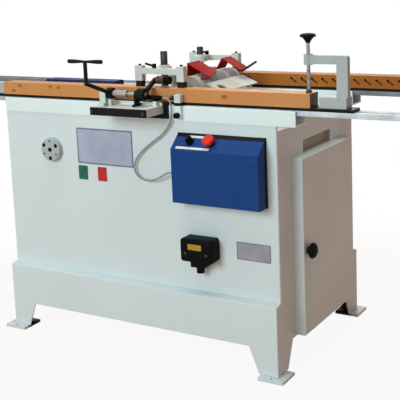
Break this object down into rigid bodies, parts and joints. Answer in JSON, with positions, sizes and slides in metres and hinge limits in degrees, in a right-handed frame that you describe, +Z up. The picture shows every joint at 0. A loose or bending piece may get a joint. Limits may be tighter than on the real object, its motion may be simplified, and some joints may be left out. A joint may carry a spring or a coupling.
{
  "type": "double mortising machine",
  "caption": "Floor-standing double mortising machine: sheet cabinet, twin rails with stile carriages, slanted router heads, hand levers and clamps.",
  "frame": {"origin": "on the floor, centre of the four anchor holes under the cabinet", "axes": "+X right along the rails, +Y to the rear away from the operator, +Z up"},
  "size_m": [2.384, 0.853, 1.1052],
  "materials": {
    "mint_paint": "satin enamel",
    "casting_paint": "satin enamel on castings",
    "bright_steel": "ground",
    "dark_steel": "oiled black oxide",
    "black_paint": "satin",
    "blue_paint": "satin",
    "red_paint": "semi-gloss",
    "pine": "planed",
    "black_plastic": "moulded",
    "brown_plastic": "moulded",
    "white_plastic": "matt",
    "red_plastic": "gloss",
    "plate_metal": "bare plate",
    "cord_rubber": "matt sheath"
  },
  "bodies": {
    "frame": {"cabinet_shell": "mint_paint", "plinth_frame": "mint_paint", "foot_plates": "mint_paint", "top_deck": "mint_paint", "front_beam": "mint_paint", "rear_beam": "mint_paint", "deck_fittings": "mint_paint", "front_rail": "bright_steel", "rear_rail": "bright_steel", "door_hinges": "dark_steel", "presser_columns": "dark_steel", "head_guides": "bright_steel", "bracket_table": "casting_paint", "bracket_apron": "black_paint", "rocker_shaft": "bright_steel", "limit_sensor": "black_plastic", "control_box_back": "black_paint", "control_box": "blue_paint", "box_fittings": "white_plastic", "connector_housing": "black_plastic", "cover_screws": "bright_steel", "panel_plates": "plate_metal", "bearing_flange": "casting_paint", "stop_block": "casting_paint", "deck_cover": "blue_paint", "sensor_cord": "cord_rubber"},
    "door": {"side_door": "mint_paint"},
    "door_latch": {"door_knob": "black_plastic"},
    "front_carriage": {"front_carriage": "black_paint", "front_stile": "pine", "front_clamp_frame": "casting_paint"},
    "front_clamp_pad": {"front_clamp_pad": "dark_steel"},
    "front_clamp_screw": {"front_clamp_screw": "black_plastic"},
    "rear_carriage": {"rear_carriage": "black_paint", "rear_stile": "pine", "rear_clamp_frame": "casting_paint"},
    "rear_clamp_pad": {"rear_clamp_pad": "dark_steel"},
    "rear_clamp_screw": {"rear_clamp_screw": "black_plastic"},
    "front_presser": {"front_presser_bridge": "casting_paint"},
    "front_lock": {"front_lock_lever": "black_plastic"},
    "rear_presser": {"rear_presser_bridge": "casting_paint"},
    "rear_lock": {"rear_lock_lever": "black_plastic"},
    "front_slide": {"front_slide": "casting_paint"},
    "front_head": {"front_cradle": "casting_paint", "front_motor": "black_paint"},
    "front_spindle": {"front_spindle": "bright_steel"},
    "front_guard": {"front_guard": "red_paint"},
    "rear_slide": {"rear_slide": "casting_paint", "feed_rod": "bright_steel"},
    "rear_head": {"rear_cradle": "casting_paint", "rear_motor": "black_paint"},
    "rear_spindle": {"rear_spindle": "bright_steel"},
    "rear_guard": {"rear_guard": "red_paint"},
    "rocker": {"reversing_rocker": "dark_steel"},
    "feed_lever": {"feed_lever": "black_paint"},
    "stroke_lever": {"stroke_lever": "black_paint", "stroke_grip": "brown_plastic"},
    "estop": {"estop_button": "red_plastic"},
    "selector": {"selector_knob": "black_plastic"},
    "stop_knob": {"stop_knob": "black_plastic"}
  },
  "joints": [
    {"name": "door_swing", "type": "hinge", "parent": "frame", "child": "door", "pos_m": [0.563, 0.225, 0.4], "axis": [0, 0, 1], "range_deg": [0, 110]},
    {"name": "door_latch_turn", "type": "hinge", "parent": "door", "child": "door_latch", "pos_m": [0.59, -0.173, 0.392], "axis": [1, 0, 0], "range_deg": [0, 90]},
    {"name": "front_carriage_travel", "type": "slide", "parent": "frame", "child": "front_carriage", "axis": [1, 0, 0], "range_m": [-0.4, 0.56]},
    {"name": "rear_carriage_travel", "type": "slide", "parent": "frame", "child": "rear_carriage", "axis": [1, 0, 0], "range_m": [-0.894, 0.04]},
    {"name": "front_clamp_lift", "type": "slide", "parent": "front_carriage", "child": "front_clamp_pad", "axis": [0, 0, 1], "range_m": [0, 0.03]},
    {"name": "front_clamp_turn", "type": "hinge", "parent": "front_clamp_pad", "child": "front_clamp_screw", "pos_m": [0.648, -0.27, 1], "axis": [0, 0, 1], "range_deg": [0, 3600]},
    {"name": "rear_clamp_lift", "type": "slide", "parent": "rear_carriage", "child": "rear_clamp_pad", "axis": [0, 0, 1], "range_m": [0, 0.03]},
    {"name": "rear_clamp_turn", "type": "hinge", "parent": "rear_clamp_pad", "child": "rear_clamp_screw", "pos_m": [1.132, 0.192, 1], "axis": [0, 0, 1], "range_deg": [0, 3600]},
    {"name": "front_presser_lift", "type": "slide", "parent": "frame", "child": "front_presser", "axis": [0, 0, 1], "range_m": [0, 0.018]},
    {"name": "front_lock_turn", "type": "hinge", "parent": "front_presser", "child": "front_lock", "pos_m": [0.081, -0.262, 0.99], "axis": [0, 0, 1], "range_deg": [0, 90]},
    {"name": "rear_presser_lift", "type": "slide", "parent": "frame", "child": "rear_presser", "axis": [0, 0, 1], "range_m": [0, 0.018]},
    {"name": "rear_lock_turn", "type": "hinge", "parent": "rear_presser", "child": "rear_lock", "pos_m": [0.023, 0.184, 0.99], "axis": [0, 0, -1], "range_deg": [0, 90]},
    {"name": "feed_turn", "type": "hinge", "parent": "frame", "child": "feed_lever", "pos_m": [-0.036, -0.355, 0.91], "axis": [1, 0, 0], "range_deg": [0, 18.21]},
    {"name": "rear_feed", "type": "slide", "parent": "frame", "child": "rear_slide", "axis": [0, 1, 0], "range_m": [0, 0.02]},
    {"name": "front_feed", "type": "slide", "parent": "frame", "child": "front_slide", "axis": [0, -1, 0], "range_m": [0, 0.02]},
    {"name": "rocker_turn", "type": "hinge", "parent": "frame", "child": "rocker", "pos_m": [0.178, -0.039, 0.847], "axis": [0, 0, 1], "range_deg": [0, 18.44]},
    {"name": "stroke_turn", "type": "hinge", "parent": "frame", "child": "stroke_lever", "pos_m": [0.09, -0.355, 0.91], "axis": [1, 0, 0], "range_deg": [0, 25]},
    {"name": "front_stroke", "type": "slide", "parent": "front_slide", "child": "front_head", "axis": [0.8192, 0, -0.5736], "range_m": [0, 0.022]},
    {"name": "rear_stroke", "type": "slide", "parent": "rear_slide", "child": "rear_head", "axis": [0.8192, 0, -0.5736], "range_m": [0, 0.022]},
    {"name": "front_spin", "type": "hinge", "parent": "front_head", "child": "front_spindle", "pos_m": [0.16899, -0.2, 0.90891], "axis": [0, 1, 0], "continuous": true},
    {"name": "rear_spin", "type": "hinge", "parent": "rear_head", "child": "rear_spindle", "pos_m": [0.16899, 0.12, 0.90891], "axis": [0, 1, 0], "continuous": true},
    {"name": "front_guard_lift", "type": "hinge", "parent": "front_slide", "child": "front_guard", "pos_m": [0.085, -0.12, 0.947], "axis": [0, -1, 0], "range_deg": [0, 75]},
    {"name": "rear_guard_lift", "type": "hinge", "parent": "rear_slide", "child": "rear_guard", "pos_m": [0.085, 0.042, 0.947], "axis": [0, -1, 0], "range_deg": [0, 75]},
    {"name": "estop_press", "type": "slide", "parent": "frame", "child": "estop", "axis": [0, 0.6555, -0.7552], "range_m": [0, 0.006], "stiffness_N_per_m": 400},
    {"name": "selector_turn", "type": "hinge", "parent": "frame", "child": "selector", "pos_m": [0.258, -0.34506, 0.76555], "axis": [0, -0.6555, 0.7552], "range_deg": [-45, 45]},
    {"name": "stop_knob_turn", "type": "hinge", "parent": "frame", "child": "stop_knob", "pos_m": [0.204, -0.33, 0.841], "axis": [0, 1, 0], "range_deg": [-180, 180]}
  ],
  "couplings": [
    {"joint": "rear_feed", "follows": "feed_turn", "m_per_rad": 0.06293},
    {"joint": "front_feed", "follows": "feed_turn", "m_per_rad": 0.06293},
    {"joint": "rocker_turn", "follows": "feed_turn", "ratio": 1.0126},
    {"joint": "front_stroke", "follows": "stroke_turn", "m_per_rad": 0.05042},
    {"joint": "rear_stroke", "follows": "stroke_turn", "m_per_rad": 0.05042},
    {"joint": "front_clamp_lift", "follows": "front_clamp_turn", "m_per_rad": 0.00047746},
    {"joint": "rear_clamp_lift", "follows": "rear_clamp_turn", "m_per_rad": 0.00047746}
  ]
}
